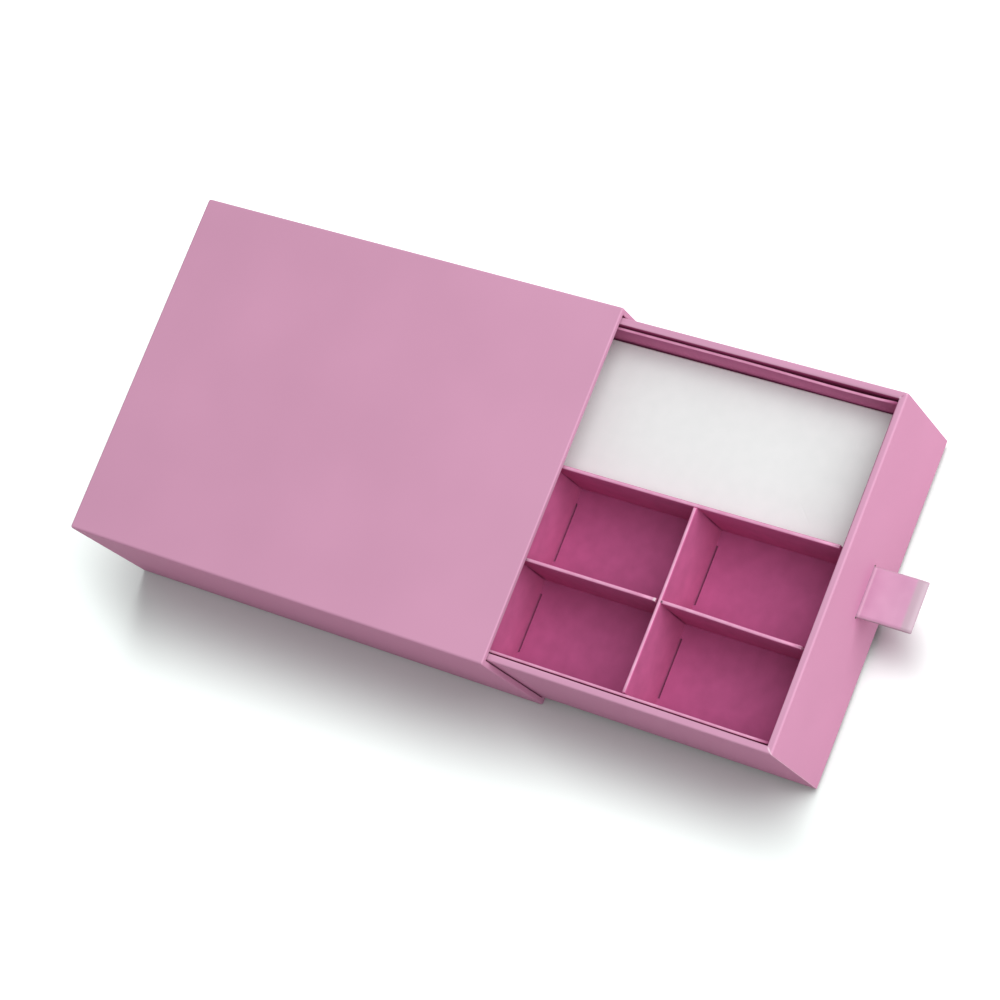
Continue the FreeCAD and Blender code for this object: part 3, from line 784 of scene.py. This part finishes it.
# %% [markdown]
# ## The tray and its dividers
#
# The tray is folded from one sheet of card: its walls are two plies, closed over at the rim, and
# the floor has slots for the dividers' tabs. The frame's solids have all of that, so each piece
# starts as a copy of its solid, merged back into whole faces. Then it gets what a fold in card
# really does: the tray leans on the drawer's front, the far wall bows in a little near it, and the
# row divider leans. A paler band is painted along the far wall as light, where the wall catches the
# light. Dark lines are painted as shade in the corners where two dividers meet, and the row
# divider's notch ends in a raw, pale tip, painted paler still as a highlight.


# %% The folded tray
def slice_along(bm, axis, places):
    """Cuts a mesh across at places along an axis, so that it can bend there."""
    normal = Vector((0, 0, 0))
    normal[axis] = 1
    for value in places:
        bmesh.ops.bisect_plane(bm, geom=bm.verts[:] + bm.edges[:] + bm.faces[:],
                               plane_co=normal * value, plane_no=normal, dist=CUT_TOLERANCE)


def steps(start, end, count):
    """Evenly spaced values from start to end."""
    return [start + (end - start) * number / (count - 1) for number in range(count)]


def mark_crowns(bm, rim):
    """Marks the crowns of folded edges, which lie just under the rim's height."""
    fold = bm.verts.layers.float.new("fold")
    for vert in bm.verts:
        vert[fold] = 1.0 if vert.co.z > rim - CROWN else 0.0


def smooth_step(value):
    """Eases from 0 to 1."""
    value = max(0.0, min(1.0, value))
    return value * value * (3 - 2 * value)


RIM = 55.7 * MM
CELL_FLOOR = 26.5 * MM
CROWN = 0.22 * MM

# Where the side walls and the front wall begin, and how far each is moved at its rim. The bows
# and leans of the side walls are in mm.
SIDE_WALL = 66 * MM
FRONT_WALL = -217 * MM
FRONT_FACE, CORNER_LENGTH = -218.7 * MM, 9 * MM
FRONT_LEAN, FRONT_SAG = 0.88 * MM, 0.5 * MM
BOW_START, BOW_LENGTH = -150 * MM, 50 * MM
FAR_BOW, FAR_LEAN = 0.6, 0.3
NEAR_LEAN, NEAR_WAVE = 0.32, 0.06
WAVE_START, WAVE_LENGTH = -40 * MM, 58 * MM
# Where the painted band of light lies on the far wall, and its size.
BAND_X, BAND_HEIGHT, BAND_WIDTH = 67.0 * MM, 46 * MM, 9 * MM


def up_the_wall(co):
    """How far up its wall a point is: 0 at the cells' floor and 1 at the rim."""
    return smooth_step((co.z - CELL_FLOOR) / (RIM - CELL_FLOOR))


tray_bm = copy_solid("insert_tray")
slice_along(tray_bm, 1, steps(-212 * MM, -36 * MM, 23))
for vert in tray_bm.verts:
    height = up_the_wall(vert.co)
    near_front = smooth_step((BOW_START - vert.co.y) / BOW_LENGTH)
    at_corner = smooth_step((vert.co.y - FRONT_FACE) / CORNER_LENGTH)
    if vert.co.y < FRONT_WALL:
        vert.co.y -= FRONT_LEAN * height
        vert.co.z -= FRONT_SAG * height * height
    if vert.co.x > SIDE_WALL:
        vert.co.x -= height * (FAR_BOW * near_front * at_corner - FAR_LEAN) * MM
    elif vert.co.x < -SIDE_WALL:
        wave = math.sin((vert.co.y - WAVE_START) / WAVE_LENGTH)
        vert.co.x -= height * (NEAR_LEAN + NEAR_WAVE * wave) * at_corner * MM
mark_crowns(tray_bm, RIM)
# Painted light: a paler band along the far wall, where it catches the light.
tray_walls = marked_paper("folded_tray_paper", tray_paper_painted_shade, [
    ((BAND_X, -10 * MM, BAND_HEIGHT), (BAND_X, -124 * MM, BAND_HEIGHT), BAND_WIDTH,
     (0.6, 0.17, 0.34), 0.9)])
settle("folded_tray", tray_bm, tray_walls, "drawer", ["insert_tray"])

# %% Dividers
LAP = -156.3 * MM
ROW_MIDDLE = -29.9 * MM
CORNER_SHADE_TOP, CORNER_SHADE_WIDTH, TIP_WIDTH = 38 * MM, 0.5 * MM, 0.8 * MM
CORNER_SHADE, RAW_CARD_HIGHLIGHT = (0.11, 0.015, 0.05), (0.92, 0.8, 0.86)

# Painted shade: dark lines up the inner corners where two dividers meet.
corner_shade_marks = [((x * MM, y * MM, CELL_FLOOR), (x * MM, y * MM, CORNER_SHADE_TOP), CORNER_SHADE_WIDTH,
                 CORNER_SHADE, 0.85)
                for x in (8.5, -30.7) for y in (-157.9, -94.7)]
divider_paper = marked_paper("divider_paper", wall_paper_painted_light, corner_shade_marks)
# The notch's tip is raw card, painted paler still as a highlight.
row_paper = marked_paper("row_divider_paper", wall_paper_painted_light, corner_shade_marks + [
    ((ROW_MIDDLE, LAP + 1.9 * MM, RIM), (ROW_MIDDLE, LAP + 0.8 * MM, RIM), TIP_WIDTH,
     RAW_CARD_HIGHLIGHT, 0.95)])


def divider(name, node, bend, axis, count, paper=divider_paper):
    """A divider copied from its solid, and bent by a rule."""
    bm = copy_solid(node)
    low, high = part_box(node)
    slice_along(bm, axis, steps(low[axis], high[axis], count)[1:-1])
    for vert in bm.verts:
        vert.co += bend(vert.co, up_the_wall(vert.co))
    mark_crowns(bm, RIM)
    settle(name, bm, paper, "drawer", [node])


def row_lean(co, height):
    """The row divider leans to the left between the front crossing and the front wall."""
    lean, length = 0.8 * MM, 58 * MM
    return Vector((-lean * height * smooth_step((LAP - co.y) / length), 0, 0))


def slight_bow(co, height):
    """A cell divider bows a little, where the row divider's notch grips it."""
    bow, left, length = 0.25 * MM, -67.2 * MM, 75.7 * MM
    arch = math.sin(math.pi * max(0.0, min(1.0, (co.x - left) / length)))
    return Vector((0, -bow * height * arch, 0))


def long_bow(co, height):
    """The long divider wavers by a third of a millimetre."""
    waver, start, length = 0.3 * MM, -31.5 * MM, 46 * MM
    return Vector((waver * height * math.sin((co.y - start) / length), 0, 0))


divider("long_wall", "long_divider", long_bow, axis=1, count=20)
divider("row_wall", "row_divider", row_lean, axis=1, count=20, paper=row_paper)
divider("front_cell_wall", "front_cell_divider", slight_bow, axis=0, count=14)
divider("back_cell_wall", "back_cell_divider", slight_bow, axis=0, count=14)

# %% [markdown]
# ## The white platform
#
# A folded white card fills the long compartment to a shallow step. Card that spans a gap never
# stays quite flat, so its top is divided into a grid and raised a little in the middle. One
# short crease was pressed into it near the front.

# %% White platform
DENT_START, DENT_MIDDLE = (0.0242, -0.1910, 0.0425), (0.0206, -0.1943, 0.0425)
DENT_WIDTH, DENT_DEPTH = 0.0004, 9.0
PLATFORM_RISE = 0.35 * MM
TOP_LAYER = 1 * MM

platform_material = white_paper.copy()
platform_material.name = "platform_paper"
tree = platform_material.node_tree
dent = use_group(tree, crease_line, Start=DENT_START, Middle=DENT_MIDDLE, Width=DENT_WIDTH)
bump = next(node for node in tree.nodes if node.bl_idname == "ShaderNodeBump")
grain_height = bump.inputs["Height"].links[0].from_socket
tree.links.new(calc(tree, "MULTIPLY_ADD", dent.outputs["Mask"], -DENT_DEPTH, grain_height),
               bump.inputs["Height"])

platform_bm = copy_solid("platform_card")
platform_low, platform_high = (Vector(corner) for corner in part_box("platform_card"))
slice_along(platform_bm, 1, steps(platform_low.y, platform_high.y, 26)[1:-1])
slice_along(platform_bm, 0, steps(platform_low.x, platform_high.x, 10)[1:-1])
middle = (platform_low + platform_high) / 2
half_size = (platform_high - platform_low) / 2
for vert in platform_bm.verts:
    if vert.co.z > platform_high.z - TOP_LAYER:
        across = max(0.0, 1 - ((vert.co.x - middle.x) / half_size.x) ** 2)
        lengthways = max(0.0, 1 - ((vert.co.y - middle.y) / half_size.y) ** 2)
        vert.co.z += PLATFORM_RISE * across * lengthways ** 0.5
mark_crowns(platform_bm, platform_high.z)
settle("white_platform", platform_bm, platform_material, "drawer", ["platform_card"])

# %% [markdown]
# ## The ribbon
#
# A satin ribbon is doubled into a loop, pushed through the slot, and its two tails are glued
# flat behind the front board. It is one strip: a row of edges across its width is extruded from
# the upper tail through the slot, spun round the loop's end, and led back to the lower tail. Two
# attributes, across and along, travel with it, so that the weave follows the strip round its
# bends. It bends where it leaves the slot, so it blends from the drawer to the pull.

# %% Ribbon strip
RIBBON_WIDTH = 20.5 * MM
RIBBON_LEFT = -8.95 * MM
RIBBON_PLY = 0.25 * MM
TAIL_Y, TAIL_TOP, TAIL_END = -219.45, 40.8, 15.2
TWICE_MIDDLE = 56
OUT_OF_SLOT = (-223.5, 28.34)

ribbon_bm = bmesh.new()
across_layer = ribbon_bm.verts.layers.float.new("across")
along_layer = ribbon_bm.verts.layers.float.new("along")
ends = [ribbon_bm.verts.new((RIBBON_LEFT + shift, TAIL_Y * MM, TAIL_TOP * MM))
        for shift in (0.0, RIBBON_WIDTH)]
first_edge = ribbon_bm.edges.new(ends)
bmesh.ops.subdivide_edges(ribbon_bm, edges=[first_edge], cuts=13)
for vert in ribbon_bm.verts:
    vert[across_layer] = (vert.co.x - RIBBON_LEFT) / RIBBON_WIDTH


def carry(bm, edges, travelled, to_y, to_z):
    """Extrudes the row of edges to a new line, and gives the new row its place along the strip."""
    made = bmesh.ops.extrude_edge_only(bm, edges=edges)["geom"]
    verts = [item for item in made if isinstance(item, bmesh.types.BMVert)]
    shift = Vector((0, to_y * MM - verts[0].co.y, to_z * MM - verts[0].co.z))
    travelled += shift.length
    for vert in verts:
        vert.co += shift
        vert[along_layer] = travelled
    return [item for item in made if isinstance(item, bmesh.types.BMEdge)], travelled


upper_route = [(TAIL_Y, 35), (TAIL_Y, 30), (TAIL_Y, 28.75), (-219.52, 28.45), (-219.72, 28.24),
               (-220.0, 28.17), (-221.0, 28.17), (-222.2, 28.17), (-223.0, 28.24), OUT_OF_SLOT,
               (-224.2, 28.46), (-225.0, 28.56), (-226.0, 28.66), (-227.5, 28.74), (-229.5, 28.8),
               (-232.0, 28.86), (-234.5, 28.9), (-237.0, 28.92), (-239.5, 28.92), (-241.5, 28.88),
               (-243.0, 28.8)]
loop_end = [(-243.8, 28.68), (-244.5, 28.42), (-244.95, 28.1), (-245.1, 27.85), (-244.95, 27.55),
            (-244.5, 27.3), (-243.8, 27.12)]
lower_route = [(y, TWICE_MIDDLE - z) for y, z in reversed(upper_route)] + [(TAIL_Y, TAIL_END)]
row, travelled = ribbon_bm.edges[:], 0.0
places = []
for y, z in upper_route + loop_end + lower_route:
    row, travelled = carry(ribbon_bm, row, travelled, y, z)
    places.append(travelled)
ROOT = places[upper_route.index(OUT_OF_SLOT)]
LOOP_MIDDLE = travelled / 2
print("ribbon: one strip", round(travelled / MM, 1), "mm long")


# %% Satin
SILK_DEEP, SILK_PALE = (0.5, 0.25, 0.385), (0.56, 0.3, 0.44)
# The second tone is painted sheen for the loop's end, the third painted highlight at the slot's
# bend, the last the woven edge.
SILK_PAINTED_SHEEN, SILK_PAINTED_HIGHLIGHT, SILK_EDGE = (0.43, 0.335, 0.385), (0.8, 0.6, 0.7), (0.5, 0.33, 0.41)
RIBS, WARPS, STREAKS = 9000.0, 420.0, 90.0
TURN_START, TURN_END = LOOP_MIDDLE - 5.2 * MM, LOOP_MIDDLE - 3.6 * MM
# The ribbon's pale band at the slot is painted highlight, this wide.
ROOT_HIGHLIGHT_WIDTH = 0.5 * MM
EDGE_START, EDGE_SLOPE = 0.47, 40.0


def ribbon_material():
    """Satin: smooth warp floats along the strip, fine ribs across it, and a firm woven edge."""
    material, tree, shader = open_material("satin_ribbon")
    across = attribute(tree, "across")
    along = attribute(tree, "along")
    ribs = calc(tree, "SINE", calc(tree, "MULTIPLY", along, RIBS))
    warp = calc(tree, "SINE", calc(tree, "MULTIPLY", across, WARPS))
    weave = calc(tree, "MULTIPLY_ADD", ribs, 0.25, calc(tree, "MULTIPLY", warp, 0.12))
    from_middle = calc(tree, "ABSOLUTE", calc(tree, "SUBTRACT", across, 0.5))
    edge = calc(tree, "SMOOTH_MIN", calc(tree, "MULTIPLY", calc(
        tree, "MAXIMUM", calc(tree, "SUBTRACT", from_middle, EDGE_START), 0.0), EDGE_SLOPE),
        1.0, 0.1)
    streaks = noise(tree, object_place(tree), STREAKS, detail=2)
    silk = blend_colours(tree, SILK_DEEP, SILK_PALE, ranged(tree, streaks, 0.0, 1.0))
    # Painted sheen: the loop's end, where it curves down, is greyed and paled as the satin's
    # reflection, and the hidden lower ply keeps that tone.
    sheen_end = tree.nodes.new("ShaderNodeMapRange")
    sheen_end.interpolation_type = "SMOOTHSTEP"
    sheen_end.inputs["From Min"].default_value = TURN_START
    sheen_end.inputs["From Max"].default_value = TURN_END
    tree.links.new(along, sheen_end.inputs["Value"])
    silk = blend_colours(tree, silk, SILK_PAINTED_SHEEN, calc(
        tree, "MULTIPLY", sheen_end.outputs["Result"], 0.85))
    # Painted highlight: a pale band where the ribbon bends out of the slot.
    offset = calc(tree, "DIVIDE", calc(tree, "SUBTRACT", along, ROOT), ROOT_HIGHLIGHT_WIDTH)
    silk = blend_colours(tree, silk, SILK_PAINTED_HIGHLIGHT, calc(tree, "MULTIPLY", bell(tree, offset), 0.4))
    tree.links.new(blend_colours(tree, silk, SILK_EDGE, calc(tree, "MULTIPLY", edge, 0.7)),
                   shader.inputs["Base Color"])
    add_bump(tree, shader, calc(tree, "ADD", weave, calc(tree, "MULTIPLY", edge, 2.0)),
             SATIN_BUMP, 0.03 * MM)
    for label, value in {"Roughness": 0.42, "Sheen Weight": 0.2, "Sheen Roughness": 0.35,
                         "Specular IOR Level": 0.45}.items():
        shader.inputs[label].default_value = value
    return material


ribbon_data = bpy.data.meshes.new("ribbon_pull")
bmesh.ops.recalc_face_normals(ribbon_bm, faces=ribbon_bm.faces)
ribbon_bm.to_mesh(ribbon_data)
ribbon_bm.free()
ribbon_data.materials.append(ribbon_material())
ribbon_data.shade_smooth()
ribbon = bpy.data.objects.new("ribbon_pull", ribbon_data)
bpy.context.scene.collection.objects.link(ribbon)
ply = ribbon.modifiers.new("ply", "SOLIDIFY")
ply.thickness = RIBBON_PLY
ply.offset = 0
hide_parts("ribbon_loop", "ribbon_tails")
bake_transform(ribbon)
print(ribbon.name, "faces:", len(ribbon_data.polygons))
